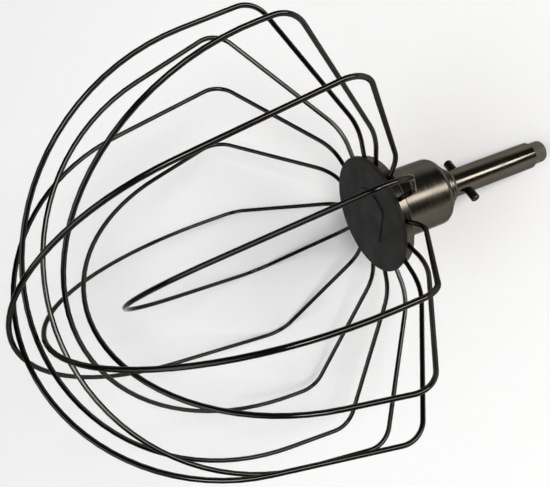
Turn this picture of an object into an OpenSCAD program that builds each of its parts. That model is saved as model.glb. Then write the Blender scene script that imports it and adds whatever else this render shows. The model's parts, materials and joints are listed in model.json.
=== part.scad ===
// Wire whisk attachment for a stand mixer, lying on its side as it comes to rest.
// Eight bent wire loops give sixteen strands. They leave the hub between a steel
// flange ring and a plastic end disc. A shaft with a cross pin goes into the mixer.
//
// Every piece is drawn upright in the tool's own frame: the axis is Z, the origin is
// on the axis in the plane of the wire exits, and +Z points at the tips of the loops.
// lying() then lays the tool on two neighbouring strands and the end of the shaft.

/* [Wire loops] */

// diameter of the wire
wire_d = 1.9; // [1.4:0.1:2.3]
// distance from the axis to the outer corner of a strand
shoulder_r = 92; // [70:1:115]
// height of that corner above the wire exits
shoulder_z = 32; // [18:1:45]
// height of the deepest tip above the wire exits
tip_depth = 148; // [120:1:190]
// distance from the axis to the corner where a strand turns up
neck_r = 37; // [31:1:50]
// bend radius at that corner
neck_bend = 5; // [3:0.5:9]
// bend radius at the shoulder
shoulder_bend = 11; // [6:0.5:14]
// nominal distance from the shoulder corner to the start of the round end
shoulder_lead = 30; // [25:0.5:36]

/* [Hub] */

// outer radius of the flange ring
ring_r = 24; // [20:0.5:30]
// height of the flange ring
ring_h = 4.2; // [3.5:0.1:8]
// rounding of the ring's back edge
ring_round = 0.6; // [0.2:0.1:1.2]
// distance from the axis to the inner end of a wire
wire_end_r = 15.5; // [13:0.5:18]
// outer radius of the end disc
disc_r = 25; // [21:0.5:30]
// thickness of the end disc
disc_t = 1.5; // [1:0.1:3]
// rounding of the disc's front edge
disc_round = 0.5; // [0.2:0.1:0.9]
// distance from the axis to the round sides of the disc's raised pad
pad_r = 12; // [8:0.5:16]
// distance from the axis to the flats of the pad
pad_flat = 9; // [6:0.1:14]
// height of the pad
pad_h = 0.5; // [0.3:0.1:1.5]
// turn of the pad about the axis
pad_turn = 16; // [0:1:179]
// outer radius of the cup
cup_r = 14.6; // [12:0.1:18]
// length of the cup
cup_h = 27.5; // [20:0.5:40]
// wall of the cup
cup_wall = 1.6; // [1:0.1:3]
// rounding of the cup's far shoulder
cup_round = 3; // [1.5:0.5:5]
// height of the step on the ring that the cup is pushed over
spigot_h = 2; // [1:0.5:4]

/* [Shaft] */

// diameter of the drive shaft
shaft_d = 12; // [9:0.5:15]
// length of the shaft beyond the cup
shaft_free = 50.5; // [40:0.5:90]
// chamfer at the free end of the shaft
shaft_chamfer = 0.6; // [0.2:0.1:0.8]
// how far the collar's wide step stands out from the shaft
collar_rim = 5; // [3:0.5:6]
// height of the collar's wide step
collar_h = 2; // [1:0.1:5]
// how far the collar's narrow step stands out from the shaft
step_rim = 2.3; // [1.5:0.1:2.9]
// height of the collar's narrow step
step_h = 3; // [1:0.1:5]
// rounding of the collar's edges
collar_round = 0.4; // [0.1:0.1:0.8]
// thickness of the seal ring
seal_d = 1.4; // [0.8:0.1:2]
// diameter of the cross pin
pin_d = 3.8; // [2.5:0.1:5]
// length of the cross pin
pin_length = 22.5; // [18:0.5:30]
// rounding of the pin's ends
pin_round = 0.8; // [0.2:0.1:1.2]
// distance from the cup to the middle of the cross pin
pin_reach = 13.6; // [12:0.1:30]
// turn of the cross pin about the axis
pin_turn = 95; // [0:5:175]
// diameter of the end plug where it shows
plug_d = 9.8; // [8:0.1:11.8]
// length of the end plug that shows
plug_out = 7; // [2:0.5:9]
// rounding of the plug's end
plug_round = 1.2; // [0.4:0.1:1.8]
// diameter of the plug's stem
stem_d = 6; // [4:0.5:7]
// length of the plug's stem
stem_h = 10; // [4:1:20]

/* [Fits] */

// gap between a wire and its groove
groove_gap = 0.05; // [0.02:0.01:0.2]
// gap between pieces that are pushed together
seat_gap = 0.02; // [0.01:0.01:0.1]

/* [Hidden] */

// how far each tip lies inside the deepest one, from the outermost loop to the innermost
tip_drop = [0, 2.2, 7.7, 10.2, 14.7, 20.6, 26.9, 40];
// place of each loop in that nest, going round the hub
nest_place = [0, 5, 2, 4, 1, 6, 3, 7];
// how much wider each loop is bent than the nominal one, in the same order
loop_widen = [2, 2, 0.5, -4, -3.5, -6, -1, 2.5];
// how much longer than nominal the straight after each shoulder is, as a factor
lead_share = [2, 0.4, 0.95, 1.1, 1.8, 1, 0.5, 2.1];
// how far each loop is turned from its even place round the hub
loop_turn = [0.5, 0, -2.5, -1, 0.5, 0, 3, 1.5];
loop_count = len(nest_place);
strand_pitch = 180 / loop_count;
function loop_angle(i) = i * strand_pitch + loop_turn[i];

// bends are a hair thinner than the straights and run a little way into them
bend_slim = 0.02;
bend_lap = 0.1;
bend_wire_d = wire_d - bend_slim;

// depth to which cutters and joined shapes run past a face
past = 1;
wire_fn = 32;
$fn = 96;

// Path of a strand in the plane of its loop, as [distance from the axis, height].
// It goes out from the hub, turns up at the neck, runs to the shoulder, bends back
// and goes over the tip in one round arc that both strands of the loop share.

neck = [neck_r, 0];
function shoulder(i) = [shoulder_r + loop_widen[i], shoulder_z];
function lead(i) = shoulder_lead * lead_share[i];
function run_length(i) = norm(shoulder(i) - neck);
function run_angle(i) = atan2(shoulder(i).y, shoulder(i).x - neck.x);
function tip_z(i) = tip_depth - tip_drop[nest_place[i]];
function tip_rise(i) = tip_z(i) - shoulder_z;
function end_r(i) =
    (pow(shoulder(i).x, 2) + pow(tip_rise(i), 2) - pow(lead(i), 2)) / (2 * tip_rise(i));
function end_z(i) = tip_z(i) - end_r(i);
function end_half(i) =
    atan2(shoulder(i).x, shoulder_z - end_z(i)) - atan(lead(i) / end_r(i));
function lead_angle(i) = 180 - end_half(i);
function shoulder_angle(i) = lead_angle(i) - run_angle(i);
function neck_cut(i) = neck_bend * tan(run_angle(i) / 2);
function shoulder_cut(i) = shoulder_bend * tan(shoulder_angle(i) / 2);

function along(from, angle, length) = from + length * [cos(angle), sin(angle)];
function neck_start(i) = along(neck, 0, -neck_cut(i));
function neck_end(i) = along(neck, run_angle(i), neck_cut(i));
function shoulder_start(i) = along(shoulder(i), run_angle(i), -shoulder_cut(i));
function shoulder_end(i) = along(shoulder(i), lead_angle(i), shoulder_cut(i));

// middle of a bend that starts at a point with a heading and turns to the left
function bend_middle(start, heading, radius) = along(start, heading + 90, radius);
function shoulder_middle(i) = bend_middle(shoulder_start(i), run_angle(i), shoulder_bend);

// Levels along the axis.

ring_face_z = wire_d / 2 + groove_gap;
ring_back_z = ring_face_z - ring_h;
disc_front_z = ring_face_z + disc_t;
cup_end_z = ring_back_z - cup_h;
step_start_z = cup_end_z - collar_h;
step_end_z = step_start_z - step_h;
seal_z = step_end_z - seat_gap - seal_d / 2;
pin_z = cup_end_z - pin_reach;
shaft_top_z = ring_face_z - ring_h / 2;
shaft_end_z = cup_end_z - shaft_free;
plug_end_z = shaft_end_z - plug_out;

// Fitted sizes.

bore_r = shaft_d / 2 + seat_gap;
groove_w = wire_d + 2 * groove_gap;
spigot_r = cup_r - cup_wall - seat_gap;
cup_inner_round = max(0.4, cup_round - cup_wall);

// The resting pose. The tool leans by rest_tilt, tips up. The two neighbouring strands
// of the last loop and the first loop carry it, with the rim at the end of the shaft.

left_foot = loop_count - 1;
right_foot = 0;
foot_pitch = loop_angle(right_foot) + 180 - loop_angle(left_foot);

// lowest point of a round rim when the tool leans by t
function rim_low(r, z, round, t) = sin(t) * z - cos(t) * r - round;
function tail_low(t) = min(
    rim_low(plug_d / 2 - plug_round, plug_end_z + plug_round, plug_round, t),
    rim_low(shaft_d / 2 - shaft_chamfer, shaft_end_z, 0, t),
    rim_low(shaft_d / 2, shaft_end_z + shaft_chamfer, 0, t));

// angle round the axis from straight down to a foot strand that touches the same floor
function foot_side(i, t) =
    let (c = shoulder_middle(i), m = sin(t) * c.y - bend_wire_d / 2 - tail_low(t))
    let (a = pow(c.x, 2) - pow(shoulder_bend, 2), b = m * c.x)
    let (e = pow(m, 2) - pow(shoulder_bend * sin(t), 2))
    acos(min(1, (b - sqrt(b * b - a * e)) / a / cos(t)));

// halves the range of the lean until both foot strands and the rim touch
function settle(low, high, steps) =
    let (t = (low + high) / 2)
    steps == 0 ? t
    : foot_side(left_foot, t) + foot_side(right_foot, t) > foot_pitch
        ? settle(t, high, steps - 1)
        : settle(low, t, steps - 1);

rest_tilt = settle(5, 60, 40);
rest_turn = loop_angle(right_foot) + 180 - foot_side(right_foot, rest_tilt);

// furthest reach of a loop along the floor, and of the whole tool both ways
function loop_reach(i) =
    end_z(i) * cos(rest_tilt) + bend_wire_d / 2
    + end_r(i) * norm([cos(rest_tilt), sin(rest_tilt) * cos(loop_angle(i) - rest_turn)]);
tips_x = max([for (i = [0 : loop_count - 1]) loop_reach(i)]);
tail_x = tail_low(90 - rest_tilt);

module lying() {
    translate([-(tips_x + tail_x) / 2, 0, -tail_low(rest_tilt)])
        rotate([0, 90 - rest_tilt, 0])
            rotate([0, 0, -rest_turn])
                children();
}

// Shapes that several pieces share.

// what a rounding takes off an outer edge at radius r and height z
module edge_cut(r, z, round, side) {
    difference() {
        translate([r - round, side > 0 ? z - round : z - past])
            square(round + past);
        translate([r - round, z - side * round])
            circle(r = round);
    }
}

// solid of revolution from low to high with rounded outer edges
module turned(r, low, high, low_round = 0, high_round = 0) {
    rotate_extrude()
        difference() {
            translate([0, low])
                square([r, high - low]);
            if (low_round > 0) {
                edge_cut(r, low, low_round, -1);
            }
            if (high_round > 0) {
                edge_cut(r, high, high_round, 1);
            }
        }
}

// round bar or cutter along the axis
module bar(r, low, high) {
    translate([0, 0, low])
        cylinder(r = r, h = high - low);
}

// Wire loops.

module straight(from, angle, length) {
    translate([from.x, 0, from.y])
        rotate([0, 90 - angle, 0])
            cylinder(d = wire_d, h = length, $fn = wire_fn);
}

module bend(middle, radius, start, turn) {
    lap = bend_lap / radius * 180 / PI;
    translate([middle.x, 0, middle.y])
        rotate([90, 0, 0])
            rotate([0, 0, start - lap])
                rotate_extrude(angle = turn + 2 * lap)
                    translate([radius, 0])
                        circle(d = bend_wire_d, $fn = wire_fn);
}

module half_loop(i) {
    straight([wire_end_r, 0], 0, neck_start(i).x - wire_end_r);
    bend(bend_middle(neck_start(i), 0, neck_bend), neck_bend, -90, run_angle(i));
    straight(neck_end(i), run_angle(i), run_length(i) - neck_cut(i) - shoulder_cut(i));
    bend(shoulder_middle(i), shoulder_bend, run_angle(i) - 90, shoulder_angle(i));
    straight(shoulder_end(i), lead_angle(i), lead(i) - shoulder_cut(i));
}

module wire_loop(i) {
    color("silver")
        lying()
            rotate([0, 0, loop_angle(i)]) {
                half_loop(i);
                rotate([0, 0, 180])
                    half_loop(i);
                bend([0, end_z(i)], end_r(i), 90 - end_half(i), 2 * end_half(i));
            }
}

// Hub.

module hub_cup() {
    color("gainsboro")
        lying()
            difference() {
                turned(cup_r, cup_end_z, ring_back_z, cup_round);
                turned(cup_r - cup_wall, cup_end_z + cup_wall, ring_back_z + past, cup_inner_round);
                bar(bore_r, cup_end_z - past, cup_end_z + cup_wall + past);
            }
}

module flange_ring() {
    color("lightgray")
        lying()
            difference() {
                union() {
                    turned(ring_r, ring_back_z, ring_face_z, ring_round);
                    bar(spigot_r, ring_back_z - spigot_h, ring_face_z - ring_h / 2);
                }
                bar(bore_r, ring_back_z - spigot_h - past, ring_face_z + past);
                for (i = [0 : loop_count - 1], side = [0, 180]) {
                    rotate([0, 0, loop_angle(i) + side])
                        translate([wire_end_r - groove_gap, -groove_w / 2, -groove_w / 2])
                            cube([ring_r, groove_w, groove_w + past]);
                }
            }
}

module end_disc() {
    color("dimgray")
        lying()
            union() {
                turned(disc_r, ring_face_z, disc_front_z, 0, disc_round);
                bar(shaft_d / 2, shaft_top_z, ring_face_z + disc_t / 2);
                intersection() {
                    bar(pad_r, ring_face_z + disc_t / 2, disc_front_z + pad_h);
                    rotate([0, 0, pad_turn])
                        translate([-pad_r, -pad_flat, ring_face_z])
                            cube([2 * pad_r, 2 * pad_flat, disc_t + pad_h + past]);
                }
            }
}

// Shaft.

module collar() {
    color("silver")
        lying()
            difference() {
                union() {
                    turned(shaft_d / 2 + collar_rim, step_start_z, cup_end_z, collar_round);
                    turned(shaft_d / 2 + step_rim, step_end_z, cup_end_z - collar_h / 2, collar_round);
                }
                bar(bore_r, step_end_z - past, cup_end_z + past);
            }
}

module shaft_seal() {
    color("#3c3c3c")
        lying()
            rotate_extrude()
                translate([bore_r + seal_d / 2, seal_z])
                    circle(d = seal_d, $fn = wire_fn);
}

module drive_shaft() {
    color("gainsboro")
        lying()
            difference() {
                rotate_extrude()
                    polygon([
                        [0, shaft_end_z],
                        [shaft_d / 2 - shaft_chamfer, shaft_end_z],
                        [shaft_d / 2, shaft_end_z + shaft_chamfer],
                        [shaft_d / 2, shaft_top_z],
                        [0, shaft_top_z]
                    ]);
                translate([0, 0, pin_z])
                    rotate([0, 90, pin_turn])
                        bar(pin_d / 2 + seat_gap, -shaft_d, shaft_d);
                bar(stem_d / 2 + seat_gap, shaft_end_z - past, shaft_end_z + stem_h + seat_gap);
            }
}

module cross_pin() {
    color("silver")
        lying()
            translate([0, 0, pin_z])
                rotate([0, 90, pin_turn])
                    turned(pin_d / 2, -pin_length / 2, pin_length / 2, pin_round, pin_round);
}

module end_plug() {
    color("#9aa89c")
        lying()
            union() {
                turned(plug_d / 2, plug_end_z, shaft_end_z, plug_round);
                bar(stem_d / 2, shaft_end_z - plug_out / 2, shaft_end_z + stem_h);
            }
}

for (i = [0 : loop_count - 1]) {
    wire_loop(i);
}
hub_cup();
flange_ring();
end_disc();
collar();
shaft_seal();
drive_shaft();
cross_pin();
end_plug();
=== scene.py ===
"""Looks of a wire whisk attachment for a stand mixer.

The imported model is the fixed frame. The hub and the drive end stay as they are there, and each
wire is bent anew between its packed ends, shoulders and round end. This script gives every piece
its finish, puts a pale floor under the whisk, lights it and sets the camera where the photograph
was taken.
"""

import cmath
import json
import logging
import math
from dataclasses import dataclass, field
from enum import Enum
from typing import ClassVar

import bpy
import numpy as np
from mathutils import Euler, Matrix, Quaternion, Vector


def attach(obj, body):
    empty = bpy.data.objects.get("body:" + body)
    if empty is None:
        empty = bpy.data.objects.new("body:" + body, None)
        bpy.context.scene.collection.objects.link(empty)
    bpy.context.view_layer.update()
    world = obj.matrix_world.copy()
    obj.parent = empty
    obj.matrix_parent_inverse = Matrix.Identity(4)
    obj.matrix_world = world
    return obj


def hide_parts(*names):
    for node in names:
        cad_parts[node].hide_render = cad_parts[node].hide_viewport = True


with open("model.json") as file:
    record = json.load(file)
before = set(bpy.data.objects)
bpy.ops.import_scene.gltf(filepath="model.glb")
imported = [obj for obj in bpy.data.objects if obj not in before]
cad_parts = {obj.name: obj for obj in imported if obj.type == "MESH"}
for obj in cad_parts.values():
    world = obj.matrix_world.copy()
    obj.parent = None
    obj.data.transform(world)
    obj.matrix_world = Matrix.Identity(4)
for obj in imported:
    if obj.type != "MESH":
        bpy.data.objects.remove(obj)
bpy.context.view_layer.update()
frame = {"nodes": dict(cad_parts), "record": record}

LOG = logging.getLogger("whisk")
MM = 0.001
BODY = "root"
Colour = tuple[float, float, float]


class Lay(Enum):
    """The way the marks of working run over a metal surface."""

    ROUND_AXIS = "round the axis of the tool"
    ALONG_AXIS = "along the axis of the tool"
    ALONG_WIRE = "along a bent wire"


class SlotName(Enum):
    """The name of the record's material slot for wire steel."""

    WIRE = "wire_steel"


@dataclass(frozen=True)
class PatternFrame:
    """A place and a turn that a pattern is laid out in."""

    centre: Vector
    turn: Euler

    @staticmethod
    def from_axes(centre: Vector, first: Vector, third: Vector) -> "PatternFrame":
        """Make a pattern frame from two of its axes.

        Args:
            centre: The origin of the pattern, in metres.
            first: The wanted direction of the pattern's X axis.
            third: The direction of the pattern's Z axis, which is kept exactly.

        Returns:
            The frame with right angles between its axes.
        """
        z_axis = third.normalized()
        x_axis = (first - first.dot(z_axis) * z_axis).normalized()
        y_axis = z_axis.cross(x_axis)
        turn = Matrix((x_axis, y_axis, z_axis)).transposed().to_euler()
        return PatternFrame(centre=centre, turn=turn)


def tool_frame() -> PatternFrame:
    """Read the axis of the tool from the record's mounts.

    Returns:
        A pattern frame on the tool's axis, with Z pointing at the tips.
    """
    mount = frame["record"]["mounts"][0]
    return PatternFrame.from_axes(
        centre=Vector(mount["pos_m"]),
        first=Vector((0.0, 1.0, 0.0)),
        third=-Vector(mount["axis"]),
    )


def packed_points(node: str) -> np.ndarray:
    """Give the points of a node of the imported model, one a row."""
    return np.array([v.co for v in frame["nodes"][node].data.vertices], float)


@dataclass(frozen=True)
class LoopPlane:
    """The plane of a bent wire. Its origin is on the tool's axis, level with the wire exits.

    A place in the plane is a complex number: the real part is the distance from the axis and
    the imaginary part is the height towards the tips, both in metres. Of the two directions
    away from the axis, the outward one is that towards negative Y.
    """

    origin: Vector
    outward: Vector
    upward: Vector
    square: Vector

    @staticmethod
    def of(node: str, wire_radius: float) -> "LoopPlane":
        """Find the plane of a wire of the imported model.

        Args:
            node: The name of the wire's node.
            wire_radius: The radius of the wire, in metres.

        Returns:
            The plane that the wire was bent in.
        """
        tool = tool_frame()
        points = packed_points(node)
        directions = np.linalg.eigh(np.cov((points - points.mean(axis=0)).T))[1]
        upward = Vector((0.0, 0.0, 1.0))
        upward.rotate(tool.turn)
        square = Vector(directions[:, 0])
        square = (square - square.dot(upward) * upward).normalized()
        if upward.cross(square).y > 0.0:
            square = -square
        lowest = min((Vector(p) - tool.centre).dot(upward) for p in points)
        origin = tool.centre + upward * (lowest + wire_radius)
        return LoopPlane(origin, upward.cross(square), upward, square)

    def place(self, spot: complex) -> Vector:
        """Give a place of the plane in the scene."""
        return self.origin + self.outward * spot.real + self.upward * spot.imag

    def read(self, node: str) -> np.ndarray:
        """Give a node's points as distance from the axis, height and distance from the plane."""
        axes = np.array([self.outward, self.upward, self.square], float)
        return (packed_points(node) - np.array(self.origin, float)) @ axes.T

    def pattern(self) -> PatternFrame:
        """Give a pattern frame with X square to the plane."""
        return PatternFrame.from_axes(centre=self.origin, first=self.square, third=self.upward)


@dataclass(frozen=True)
class LoopForm:
    """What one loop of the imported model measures, as complex places in its plane.

    Points that lie farther from the plane than the flank share of the wire's radius show where
    its middle line runs. Those farther out from the middle of the shoulder's bend than the bend
    share of its radius are measured for the shoulder, and those within the crown's depth of the
    top for the round end.
    """

    foot: float
    shoulder: complex
    end: complex
    end_radius: float
    flank_share: ClassVar[float] = 0.97
    bend_share: ClassVar[float] = 0.62
    crown_depth: ClassVar[float] = 24.0 * MM

    @staticmethod
    def of(node: str, plane: LoopPlane, wire_radius: float, shoulder_bend: float) -> "LoopForm":
        """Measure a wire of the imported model.

        Args:
            node: The name of the wire's node.
            plane: The plane that it was bent in.
            wire_radius: The radius of the wire, in metres.
            shoulder_bend: The radius of the bend at the shoulder, in metres.

        Returns:
            The start of its foot, the middles of its bends and the radius of its round end.
        """
        points = plane.read(node)
        middle = points[np.abs(points[:, 2]) > LoopForm.flank_share * wire_radius]
        foot = float(np.abs(points[points[:, 1] < wire_radius, 0]).min())
        widest = points[points[:, 0].argmax()]
        across = widest[0] - wire_radius - shoulder_bend
        bend_from = across + LoopForm.bend_share * shoulder_bend
        bend = middle[(middle[:, 0] > bend_from) & (middle[:, 1] < widest[1])]
        heights = bend[:, 1] + np.sqrt(np.maximum(shoulder_bend**2 - (bend[:, 0] - across) ** 2, 0.0))
        crown = middle[middle[:, 1] > middle[:, 1].max() - LoopForm.crown_depth]
        sides = np.column_stack((2.0 * crown[:, 1], np.ones(len(crown))))
        height, rest = np.linalg.lstsq(sides, (crown[:, :2] ** 2).sum(axis=1), rcond=None)[0]
        return LoopForm(
            foot=foot,
            shoulder=complex(across, heights.mean()),
            end=complex(0.0, height),
            end_radius=math.sqrt(rest + height**2),
        )


class WireBender:
    """Makes a wire out of a ring of points: a straight is extruded and a bend is spun."""

    sides: int = 20
    bend_step: float = math.radians(4.0)
    merge_distance: float = 0.001 * MM
    smooth_angle: float = math.radians(35.0)

    def __init__(self, name: str, plane: LoopPlane, start: complex, radius: float) -> None:
        """Lay down the first ring of points, square to the outward direction.

        Args:
            name: The name of the new piece.
            plane: The plane that the wire is bent in.
            start: The place of the end that it starts from.
            radius: The radius of the wire, in metres.
        """
        self.plane = plane
        self.at = start
        facing = plane.outward.to_track_quat("Z", "Y").to_euler()
        bpy.ops.object.select_all(action="DESELECT")
        bpy.ops.mesh.primitive_circle_add(
            vertices=self.sides,
            radius=radius,
            fill_type="NGON",
            location=plane.place(start),
            rotation=facing,
        )
        self.piece = bpy.context.object
        self.piece.name = name
        bpy.ops.object.mode_set(mode="EDIT")
        bpy.ops.mesh.select_all(action="SELECT")

    def straight(self, to: complex) -> None:
        """Draw the wire straight on to a place."""
        move = self.plane.place(to) - self.plane.place(self.at)
        bpy.ops.mesh.extrude_region_move(TRANSFORM_OT_translate={"value": move})
        self.at = to

    def bend(self, middle: complex, turn: float) -> None:
        """Bend the wire to the left.

        Args:
            middle: The middle of the bend.
            turn: The angle of the bend, in radians.
        """
        bpy.ops.mesh.spin(
            steps=max(1, round(turn / self.bend_step)),
            angle=-turn,
            center=self.plane.place(middle),
            axis=self.plane.square,
        )
        self.at = middle + (self.at - middle) * cmath.exp(1j * turn)

    def finish(self) -> bpy.types.Object:
        """Close the mesh, turn its faces outwards and put its place into it.

        Returns:
            The finished wire.
        """
        bpy.ops.mesh.select_all(action="SELECT")
        bpy.ops.mesh.remove_doubles(threshold=self.merge_distance)
        bpy.ops.mesh.normals_make_consistent(inside=False)
        bpy.ops.object.mode_set(mode="OBJECT")
        bpy.ops.object.shade_smooth_by_angle(angle=self.smooth_angle)
        bpy.ops.object.transform_apply(location=True, rotation=True, scale=True)
        return self.piece


class Shader:
    """A node tree under construction, with short calls for the nodes that the finishes use."""

    def __init__(self, name: str) -> None:
        """Start an empty material that holds one Principled shader.

        Args:
            name: The name of the material.
        """
        self.material = bpy.data.materials.new(name)
        self.material.use_nodes = True
        self.tree = self.material.node_tree
        self.tree.nodes.clear()
        self.output = self.tree.nodes.new("ShaderNodeOutputMaterial")
        self.surface = self.tree.nodes.new("ShaderNodeBsdfPrincipled")
        self.join(self.surface.outputs["BSDF"], self.output.inputs["Surface"])

    def add(self, kind: str, **settings: object) -> bpy.types.Node:
        """Add a node.

        Args:
            kind: The node's type name.
            **settings: Properties of the node.

        Returns:
            The new node.
        """
        node = self.tree.nodes.new(kind)
        for key, value in settings.items():
            setattr(node, key, value)
        return node

    def join(self, source: bpy.types.NodeSocket, target: bpy.types.NodeSocket) -> None:
        """Link an output to an input."""
        self.tree.links.new(source, target)

    def place(self, pattern: PatternFrame | None) -> bpy.types.NodeSocket:
        """Give Object coordinates, moved into a pattern frame.

        Args:
            pattern: The frame, or None for the plain coordinates.

        Returns:
            A vector output.
        """
        coordinates = self.add("ShaderNodeTexCoord").outputs["Object"]
        if pattern is None:
            return coordinates
        mapping = self.add("ShaderNodeMapping", vector_type="TEXTURE")
        mapping.inputs["Location"].default_value = pattern.centre
        mapping.inputs["Rotation"].default_value = pattern.turn
        self.join(coordinates, mapping.inputs["Vector"])
        return mapping.outputs["Vector"]

    def math(
        self,
        operation: str,
        first: bpy.types.NodeSocket | float,
        second: bpy.types.NodeSocket | float,
    ) -> bpy.types.NodeSocket:
        """Work on two values.

        Args:
            operation: The name of the operation.
            first: A number or an output.
            second: A number or an output.

        Returns:
            The result's output.
        """
        node = self.add("ShaderNodeMath", operation=operation)
        for socket, value in zip(node.inputs, (first, second)):
            if isinstance(value, bpy.types.NodeSocket):
                self.join(value, socket)
            else:
                socket.default_value = float(value)
        return node.outputs["Value"]

    def stretched(
        self, vector: bpy.types.NodeSocket, scale: tuple[float, float, float]
    ) -> bpy.types.NodeSocket:
        """Scale a vector by a factor of its own along each axis.

        Args:
            vector: The vector output.
            scale: The factors along X, Y and Z.

        Returns:
            The scaled vector's output.
        """
        node = self.add("ShaderNodeVectorMath", operation="MULTIPLY")
        self.join(vector, node.inputs[0])
        node.inputs[1].default_value = scale
        return node.outputs["Vector"]

    def noise(
        self, vector: bpy.types.NodeSocket, scale: float, detail: float, rough: float = 0.5
    ) -> bpy.types.NodeSocket:
        """Read a noise texture.

        Args:
            vector: The coordinates.
            scale: Noise cells per metre.
            detail: How many finer layers are added.
            rough: How strong the finer layers are.

        Returns:
            The value output, around one half.
        """
        node = self.add("ShaderNodeTexNoise")
        self.join(vector, node.inputs["Vector"])
        node.inputs["Scale"].default_value = scale
        node.inputs["Detail"].default_value = detail
        node.inputs["Roughness"].default_value = rough
        return node.outputs["Fac"]

    def between(
        self, value: bpy.types.NodeSocket, low: float, high: float, to_low: float, to_high: float
    ) -> bpy.types.NodeSocket:
        """Map a value from one range to another and clamp it.

        Args:
            value: The output to map.
            low: The lower end of the range that is read.
            high: The upper end of the range that is read.
            to_low: What the lower end becomes.
            to_high: What the upper end becomes.

        Returns:
            The mapped output.
        """
        node = self.add("ShaderNodeMapRange", clamp=True)
        self.join(value, node.inputs["Value"])
        for name, number in zip(
            ("From Min", "From Max", "To Min", "To Max"), (low, high, to_low, to_high)
        ):
            node.inputs[name].default_value = number
        return node.outputs["Result"]

    def tones(
        self, factor: bpy.types.NodeSocket, first: Colour, second: Colour
    ) -> bpy.types.NodeSocket:
        """Blend two colours by a factor.

        Args:
            factor: The blend factor, 0 for the first colour and 1 for the second.
            first: The first colour, linear.
            second: The second colour, linear.

        Returns:
            The colour output.
        """
        node = self.add("ShaderNodeMix", data_type="RGBA")
        self.join(factor, node.inputs["Factor"])
        colours = [s for s in node.inputs if s.type == "RGBA"]
        colours[0].default_value = (*first, 1.0)
        colours[1].default_value = (*second, 1.0)
        return [s for s in node.outputs if s.type == "RGBA"][0]

    def bump(self, height: bpy.types.NodeSocket, depth: float) -> None:
        """Give the surface a relief.

        Args:
            height: The height output, from 0 to 1.
            depth: The depth that a height of 1 stands for, in metres.
        """
        node = self.add("ShaderNodeBump")
        node.inputs["Strength"].default_value = 1.0
        node.inputs["Distance"].default_value = depth
        self.join(height, node.inputs["Height"])
        self.join(node.outputs["Normal"], self.surface.inputs["Normal"])


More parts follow.
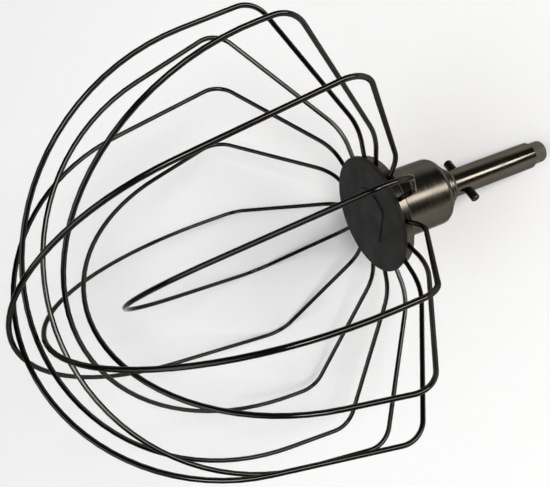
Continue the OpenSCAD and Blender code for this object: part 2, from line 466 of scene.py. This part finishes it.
@dataclass(frozen=True)
class WorkedSteel:
    """Stainless steel with the marks of brushing, turning or drawing.

    Fine marks, broad marks and stains are noises around one half. A weight is a noise's part in
    the whole and a range is what is read of it. The pace is how fast the marks change along their
    length, against across it, and the edge is the tint of what the steel mirrors at a low angle.
    """

    colour: Colour
    stain: Colour
    lay: Lay
    roughness: float
    anisotropy: float
    mark_width: float
    mark_depth: float
    mark_contrast: float
    stain_size: float = 14.0 * MM
    edge: Colour = (0.50, 0.50, 0.49)
    pace: ClassVar[float] = 0.02
    fine_weight: ClassVar[float] = 0.6
    broad_weight: ClassVar[float] = 0.4
    broad_rate: ClassVar[float] = 0.22
    mark_range: ClassVar[tuple[float, float]] = (0.3, 0.7)
    mark_weight: ClassVar[float] = 0.55
    stain_range: ClassVar[tuple[float, float]] = (0.35, 0.65)
    stain_weight: ClassVar[float] = 0.45
    stain_contrast: ClassVar[float] = 0.04

    def marks(self, shader: Shader, place: bpy.types.NodeSocket) -> bpy.types.NodeSocket:
        """Lay out coordinates in which the marks become long streaks.

        Args:
            shader: The material under construction.
            place: The coordinates in the pattern frame.

        Returns:
            Coordinates that hardly change along a mark.
        """
        if self.lay is Lay.ALONG_WIRE:
            return shader.stretched(place, (1.0, self.pace, self.pace))
        if self.lay is Lay.ALONG_AXIS:
            return shader.stretched(place, (1.0, 1.0, self.pace))
        parts = shader.add("ShaderNodeSeparateXYZ")
        shader.join(place, parts.inputs["Vector"])
        flat = shader.stretched(place, (1.0, 1.0, 0.0))
        reach = shader.add("ShaderNodeVectorMath", operation="LENGTH")
        shader.join(flat, reach.inputs[0])
        together = shader.add("ShaderNodeCombineXYZ")
        shader.join(reach.outputs["Value"], together.inputs["X"])
        shader.join(shader.math("MULTIPLY", parts.outputs["Y"], self.pace), together.inputs["Y"])
        shader.join(parts.outputs["Z"], together.inputs["Z"])
        return together.outputs["Vector"]

    def direction(self, shader: Shader, pattern: PatternFrame) -> bpy.types.NodeSocket:
        """Find the tangent along the marks.

        Args:
            shader: The material under construction.
            pattern: The pattern frame, whose Z is the tool's axis or X the normal of a loop.

        Returns:
            The tangent's output.
        """
        across = Vector((1.0, 0.0, 0.0)) if self.lay is Lay.ALONG_WIRE else Vector((0.0, 0.0, 1.0))
        across.rotate(pattern.turn)
        normal = shader.add("ShaderNodeNewGeometry").outputs["Normal"]
        node = shader.add("ShaderNodeVectorMath", operation="CROSS_PRODUCT")
        shader.join(normal, node.inputs[0])
        node.inputs[1].default_value = across
        return node.outputs["Vector"]

    def material(self, name: str, pattern: PatternFrame) -> bpy.types.Material:
        """Build the material.

        Args:
            name: The material's name.
            pattern: The frame that the marks follow.

        Returns:
            The finished material.
        """
        shader = Shader(name)
        place = shader.place(pattern)
        lines = self.marks(shader, place)
        fine = shader.noise(lines, 1.0 / self.mark_width, detail=2.0, rough=0.6)
        broad = shader.noise(lines, self.broad_rate / self.mark_width, detail=1.0)
        stains = shader.noise(place, 1.0 / self.stain_size, detail=3.0, rough=0.6)
        streaks = shader.math(
            "ADD",
            shader.math("MULTIPLY", fine, self.fine_weight),
            shader.math("MULTIPLY", broad, self.broad_weight),
        )
        mixed = shader.math(
            "ADD",
            shader.between(streaks, *self.mark_range, 0.0, self.mark_weight),
            shader.between(stains, *self.stain_range, 0.0, self.stain_weight),
        )
        shader.join(shader.tones(mixed, self.stain, self.colour), shader.surface.inputs["Base Color"])
        smooth, rough = self.roughness - self.mark_contrast, self.roughness + self.mark_contrast
        grain = shader.between(streaks, *self.mark_range, smooth, rough)
        dull = shader.between(stains, *self.stain_range, self.stain_contrast, -self.stain_contrast)
        shader.join(shader.math("ADD", grain, dull), shader.surface.inputs["Roughness"])
        shader.surface.inputs["Metallic"].default_value = 1.0
        shader.surface.inputs["Specular Tint"].default_value = (*self.edge, 1.0)
        shader.surface.inputs["Anisotropic"].default_value = self.anisotropy
        shader.join(self.direction(shader, pattern), shader.surface.inputs["Tangent"])
        shader.bump(streaks, self.mark_depth)
        return shader.material


@dataclass(frozen=True)
class MouldedPlastic:
    """Plastic from a mould with a fine eroded grain and slight rubbing.

    Rubbed patches and scratches are noises around one half. A weight is a noise's part in the
    rubbing and a range is what is read of it.
    """

    colour: Colour
    rubbed: Colour
    roughness: float
    grain_size: float = 0.35 * MM
    grain_depth: float = 0.02 * MM
    patch_size: float = 9.0 * MM
    gloss: float = 0.35
    patch_range: ClassVar[tuple[float, float]] = (0.35, 0.7)
    patch_weight: ClassVar[float] = 0.7
    scratch_stretch: ClassVar[tuple[float, float, float]] = (0.04, 1.0, 0.3)
    scratch_range: ClassVar[tuple[float, float]] = (0.62, 0.72)
    scratch_weight: ClassVar[float] = 0.3
    satin_range: ClassVar[tuple[float, float]] = (0.3, 0.7)
    satin_contrast: ClassVar[float] = 0.06

    def material(self, name: str) -> bpy.types.Material:
        """Build the material.

        Args:
            name: The material's name.

        Returns:
            The finished material.
        """
        shader = Shader(name)
        place = shader.place(None)
        grain = shader.noise(place, 1.0 / self.grain_size, detail=3.0, rough=0.65)
        patches = shader.noise(place, 1.0 / self.patch_size, detail=4.0, rough=0.55)
        scratch_place = shader.stretched(place, self.scratch_stretch)
        scratches = shader.noise(scratch_place, 1.0 / self.grain_size, detail=1.0)
        rub = shader.math(
            "ADD",
            shader.between(patches, *self.patch_range, 0.0, self.patch_weight),
            shader.between(scratches, *self.scratch_range, 0.0, self.scratch_weight),
        )
        shader.join(shader.tones(rub, self.colour, self.rubbed), shader.surface.inputs["Base Color"])
        rough, smooth = self.roughness + self.satin_contrast, self.roughness - self.satin_contrast
        satin = shader.between(patches, *self.satin_range, rough, smooth)
        shader.join(satin, shader.surface.inputs["Roughness"])
        shader.surface.inputs["Specular IOR Level"].default_value = self.gloss
        shader.bump(grain, self.grain_depth)
        return shader.material


@dataclass(frozen=True)
class SealRubber:
    """Dark rubber with a dull skin and traces of flour dust.

    Skin and dust are noises around one half, and a range is what is read of one.
    """

    colour: Colour = (0.022, 0.021, 0.020)
    dust: Colour = (0.060, 0.056, 0.050)
    dust_rate: float = 0.2
    dust_range: tuple[float, float] = (0.45, 0.7)
    roughness: float = 0.58
    skin_size: float = 0.5 * MM
    skin_depth: float = 0.02 * MM
    skin_range: tuple[float, float] = (0.3, 0.7)
    skin_contrast: float = 0.08

    def material(self, name: str) -> bpy.types.Material:
        """Build the material.

        Args:
            name: The material's name.

        Returns:
            The finished material.
        """
        shader = Shader(name)
        place = shader.place(None)
        skin = shader.noise(place, 1.0 / self.skin_size, detail=3.0, rough=0.6)
        dusty = shader.noise(place, self.dust_rate / self.skin_size, detail=2.0)
        factor = shader.between(dusty, *self.dust_range, 0.0, 1.0)
        shader.join(shader.tones(factor, self.colour, self.dust), shader.surface.inputs["Base Color"])
        smooth, rough = self.roughness - self.skin_contrast, self.roughness + self.skin_contrast
        dull = shader.between(skin, *self.skin_range, smooth, rough)
        shader.join(dull, shader.surface.inputs["Roughness"])
        shader.bump(skin, self.skin_depth)
        return shader.material


def dress(node: str, material: bpy.types.Material) -> None:
    """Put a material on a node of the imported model.

    Args:
        node: The node's name.
        material: The material for all its slots.
    """
    piece = frame["nodes"][node]
    if not piece.material_slots:
        piece.data.materials.append(material)
    for slot in piece.material_slots:
        slot.material = material
    LOG.info("%s: %s, %d triangles", node, material.name, len(piece.data.polygons))


@dataclass(frozen=True)
class Strand:
    """The bends of one strand from the hub to the crown, as complex places in its plane."""

    neck: complex
    neck_turn: float
    run_start: complex
    run_end: complex
    shoulder: complex
    shoulder_turn: float
    lead_start: complex
    lead_end: complex


def mirrored(spot: complex) -> complex:
    """Give the place across the axis from a place in a loop's plane."""
    return -spot.conjugate()


@dataclass
class WireBalloon:
    """The bent wires. Each is drawn wire, so its marks run along it.

    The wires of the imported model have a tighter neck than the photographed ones, so each is
    bent anew between the same ring, shoulders and round end. The shoulder shifts say, by loop
    and side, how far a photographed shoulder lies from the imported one. Side 1 is the outward one.
    """

    loops: int = 8
    wire_radius: float = 0.94 * MM
    neck_reach: float = 37.0 * MM
    neck_bend: float = 25.0 * MM
    shoulder_bend: float = 11.0 * MM
    shoulder_shifts: dict[tuple[int, int], complex] = field(
        default_factory=lambda: {
            (1, 1): (-1.3 - 4.8j) * MM,
            (4, 1): (2.6 + 3.6j) * MM,
            (6, 1): (3.0 + 2.0j) * MM,
        }
    )
    finish: WorkedSteel = field(
        default_factory=lambda: WorkedSteel(
            colour=(0.057, 0.054, 0.049),
            stain=(0.028, 0.026, 0.023),
            lay=Lay.ALONG_WIRE,
            roughness=0.13,
            anisotropy=0.3,
            mark_width=0.16 * MM,
            mark_depth=0.002 * MM,
            mark_contrast=0.04,
            stain_size=22.0 * MM,
            edge=(0.40, 0.40, 0.39),
        )
    )

    def strand(self, form: LoopForm, shift: complex) -> Strand:
        """Work out where a strand bends.

        Args:
            form: The measured form of the loop.
            shift: How far this strand's shoulder lies from the measured one.

        Returns:
            The places and angles of its bends.
        """
        shoulder = form.shoulder + shift
        across = shoulder - complex(self.neck_reach, 0.0)
        over = form.end - shoulder
        run = cmath.phase(across) - math.asin(self.shoulder_bend / abs(across))
        slant = min(1.0, (form.end_radius - self.shoulder_bend) / abs(over))
        lead = cmath.phase(over) % math.tau - math.asin(slant)
        neck = complex(self.neck_reach - self.neck_bend * math.tan(run / 2.0), self.neck_bend)
        run_side, lead_side = (-1j * cmath.exp(1j * angle) for angle in (run, lead))
        return Strand(
            neck=neck,
            neck_turn=run,
            run_start=neck + self.neck_bend * run_side,
            run_end=shoulder + self.shoulder_bend * run_side,
            shoulder=shoulder,
            shoulder_turn=lead - run,
            lead_start=shoulder + self.shoulder_bend * lead_side,
            lead_end=form.end + form.end_radius * lead_side,
        )

    def bend_wire(self, number: int) -> bpy.types.Object:
        """Bend one wire from end to end.

        Args:
            number: The number of the loop.

        Returns:
            The finished wire.
        """
        node = f"wire_loop_{number}"
        plane = LoopPlane.of(node, self.wire_radius)
        form = LoopForm.of(node, plane, self.wire_radius, self.shoulder_bend)
        first, last = (
            self.strand(form, self.shoulder_shifts.get((number, side), 0j)) for side in (1, -1)
        )
        wire = WireBender(f"bent_wire_{number}", plane, complex(form.foot, 0.0), self.wire_radius)
        wire.straight(complex(first.neck.real, 0.0))
        wire.bend(first.neck, first.neck_turn)
        wire.straight(first.run_end)
        wire.bend(first.shoulder, first.shoulder_turn)
        wire.straight(first.lead_end)
        crown_start = first.lead_end - form.end
        crown_end = mirrored(last.lead_end) - form.end
        wire.bend(form.end, cmath.phase(crown_end / crown_start) % math.tau)
        wire.straight(mirrored(last.lead_start))
        wire.bend(mirrored(last.shoulder), last.shoulder_turn)
        wire.straight(mirrored(last.run_start))
        wire.bend(mirrored(last.neck), last.neck_turn)
        wire.straight(complex(-form.foot, 0.0))
        LOG.info("%s: shoulder %.1f mm, end %.1f mm", node, form.shoulder.real / MM, wire.at.real / MM)
        piece = wire.finish()
        piece.data.materials.append(self.finish.material(f"drawn steel {number}", plane.pattern()))
        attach(piece, BODY)
        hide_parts(node)
        return piece

    def build(self) -> None:
        """Bend every wire and dress it in a finish turned to its own plane."""
        for number in range(1, self.loops + 1):
            piece = self.bend_wire(number)
            LOG.info("%s: %d faces", piece.name, len(piece.data.polygons))


@dataclass
class Hub:
    """The steel cup and ring with the dark disc that closes them."""

    steel: WorkedSteel = field(
        default_factory=lambda: WorkedSteel(
            colour=(0.108, 0.097, 0.080),
            stain=(0.074, 0.066, 0.053),
            lay=Lay.ROUND_AXIS,
            roughness=0.20,
            anisotropy=0.5,
            mark_width=0.14 * MM,
            mark_depth=0.0015 * MM,
            mark_contrast=0.05,
        )
    )
    plastic: MouldedPlastic = field(
        default_factory=lambda: MouldedPlastic(
            colour=(0.0135, 0.0130, 0.0120),
            rubbed=(0.023, 0.022, 0.0205),
            roughness=0.6,
            gloss=0.12,
        )
    )

    def build(self) -> None:
        """Dress the cup, the ring, the collar and the disc."""
        brushed = self.steel.material("brushed hub steel", tool_frame())
        for node in ("hub_cup", "flange_ring", "collar"):
            dress(node, brushed)
        dress("end_disc", self.plastic.material("dark disc plastic"))


@dataclass
class DriveEnd:
    """The shaft with its cross pin, seal and end plug."""

    steel: WorkedSteel = field(
        default_factory=lambda: WorkedSteel(
            colour=(0.130, 0.116, 0.094),
            stain=(0.085, 0.075, 0.060),
            lay=Lay.ROUND_AXIS,
            roughness=0.14,
            anisotropy=0.35,
            mark_width=0.10 * MM,
            mark_depth=0.0008 * MM,
            mark_contrast=0.03,
        )
    )
    pin_steel: WorkedSteel = field(
        default_factory=lambda: WorkedSteel(
            colour=(0.085, 0.079, 0.069),
            stain=(0.04, 0.037, 0.032),
            lay=Lay.ALONG_AXIS,
            roughness=0.26,
            anisotropy=0.1,
            mark_width=0.3 * MM,
            mark_depth=0.002 * MM,
            mark_contrast=0.05,
            stain_size=5.0 * MM,
        )
    )
    plug: MouldedPlastic = field(
        default_factory=lambda: MouldedPlastic(
            colour=(0.055, 0.057, 0.041),
            rubbed=(0.085, 0.085, 0.064),
            roughness=0.52,
            patch_size=4.0 * MM,
        )
    )
    rubber: SealRubber = field(default_factory=SealRubber)

    def build(self) -> None:
        """Dress the shaft, the pin, the plug and the seal."""
        axis = tool_frame()
        dress("drive_shaft", self.steel.material("ground shaft steel", axis))
        dress("cross_pin", self.pin_steel.material("hardened pin steel", axis))
        dress("end_plug", self.plug.material("grey green plug plastic"))
        dress("shaft_seal", self.rubber.material("seal rubber"))


@dataclass
class Viewpoint:
    """The camera at the photograph's place."""

    eye: Vector = field(default_factory=lambda: Vector((-73.4, 51.8, 331.6)) * MM)
    aim: Vector = field(default_factory=lambda: Vector((12.2, -7.0, 60.8)) * MM)
    roll: float = math.radians(-81.52)
    lens: float = 44.44
    sensor: float = 36.0
    nearest: float = 10.0 * MM
    farthest: float = 20.0

    def build(self) -> None:
        """Create the camera and make it the scene's own."""
        data = bpy.data.cameras.new("photograph camera")
        data.sensor_fit = "HORIZONTAL"
        data.sensor_width = self.sensor
        data.lens = self.lens
        data.clip_start = self.nearest
        data.clip_end = self.farthest
        camera = bpy.data.objects.new("photograph camera", data)
        bpy.context.scene.collection.objects.link(camera)
        look = (self.aim - self.eye).to_track_quat("-Z", "Y")
        camera.rotation_mode = "QUATERNION"
        camera.rotation_quaternion = look @ Quaternion((0.0, 0.0, 1.0), self.roll)
        camera.location = self.eye
        bpy.context.scene.camera = camera
        LOG.info("camera at %s, lens %.1f mm", tuple(round(v / MM) for v in self.eye), self.lens)


@dataclass(frozen=True)
class Lamp:
    """A rectangular soft light that points at the whisk."""

    name: str
    place: tuple[float, float, float]
    size: tuple[float, float]
    watts: float
    tint: Colour = (1.0, 1.0, 1.0)

    def build(self, target: Vector) -> None:
        """Create the light.

        Args:
            target: The point that it faces.
        """
        data = bpy.data.lights.new(self.name, "AREA")
        data.shape = "RECTANGLE"
        data.size, data.size_y = self.size
        data.energy = self.watts
        data.color = self.tint
        lamp = bpy.data.objects.new(self.name, data)
        bpy.context.scene.collection.objects.link(lamp)
        lamp.location = self.place
        lamp.rotation_euler = (target - lamp.location).to_track_quat("-Z", "Y").to_euler()


@dataclass
class Studio:
    """A pale floor under soft light.

    The haze reaches from the horizon up to its top and fades out where the ceiling begins. Both
    heights are the sine of the angle that is looked up at.
    """

    floor_size: float = 6.0
    floor_colour: Colour = (0.95, 0.95, 0.95)
    floor_roughness: float = 0.9
    floor_gloss: float = 0.1
    haze: float = 0.85
    haze_top: float = 0.03
    ceiling: float = 0.07
    ceiling_from: float = 0.13
    target: Vector = field(default_factory=lambda: Vector((0.0, 0.0, 0.06)))
    lamps: tuple[Lamp, ...] = (
        Lamp("key softbox", (-1.58, 0.30, 1.24), (0.50, 1.7), 27.3, (1.0, 0.98, 0.95)),
        Lamp("top softbox", (1.2, 0.3, 1.8), (2.2, 2.2), 27.0, (0.97, 0.98, 1.0)),
        Lamp("front softbox", (-0.62, 0.46, 1.75), (0.42, 0.42), 10.0),
    )

    def lay_floor(self) -> None:
        """Put down the floor on which the whisk lies."""
        bpy.ops.object.select_all(action="DESELECT")
        bpy.ops.mesh.primitive_plane_add(size=self.floor_size, location=(0.0, 0.0, 0.0))
        floor = bpy.context.object
        floor.name = "studio floor"
        shader = Shader("pale floor")
        shader.surface.inputs["Base Color"].default_value = (*self.floor_colour, 1.0)
        shader.surface.inputs["Roughness"].default_value = self.floor_roughness
        shader.surface.inputs["Specular IOR Level"].default_value = self.floor_gloss
        floor.data.materials.append(shader.material)

    def light_sky(self) -> None:
        """Give the studio a pale haze at the horizon and a dim ceiling."""
        world = bpy.data.worlds.new("soft studio")
        bpy.context.scene.world = world
        world.use_nodes = True
        tree = world.node_tree
        tree.nodes.clear()
        output = tree.nodes.new("ShaderNodeOutputWorld")
        background = tree.nodes.new("ShaderNodeBackground")
        tree.links.new(background.outputs["Background"], output.inputs["Surface"])
        direction = tree.nodes.new("ShaderNodeTexCoord")
        parts = tree.nodes.new("ShaderNodeSeparateXYZ")
        tree.links.new(direction.outputs["Generated"], parts.inputs["Vector"])
        height = tree.nodes.new("ShaderNodeMapRange")
        height.inputs["From Min"].default_value = self.haze_top
        height.inputs["From Max"].default_value = self.ceiling_from
        height.inputs["To Min"].default_value = self.haze
        height.inputs["To Max"].default_value = self.ceiling
        tree.links.new(parts.outputs["Z"], height.inputs["Value"])
        tree.links.new(height.outputs["Result"], background.inputs["Strength"])

    def build(self) -> None:
        """Build the floor, the sky and the lamps."""
        self.lay_floor()
        self.light_sky()
        for lamp in self.lamps:
            lamp.build(self.target)


def main() -> None:
    """Build the camera, the studio, the wires and the finishes in order."""
    logging.basicConfig(level=logging.INFO, format="%(name)s: %(message)s")
    bpy.context.scene.view_settings.view_transform = "Standard"
    for part in (Viewpoint(), Studio(), WireBalloon(), Hub(), DriveEnd()):
        part.build()
        LOG.info("%s done", type(part).__name__)


if __name__ == "__main__":
    main()
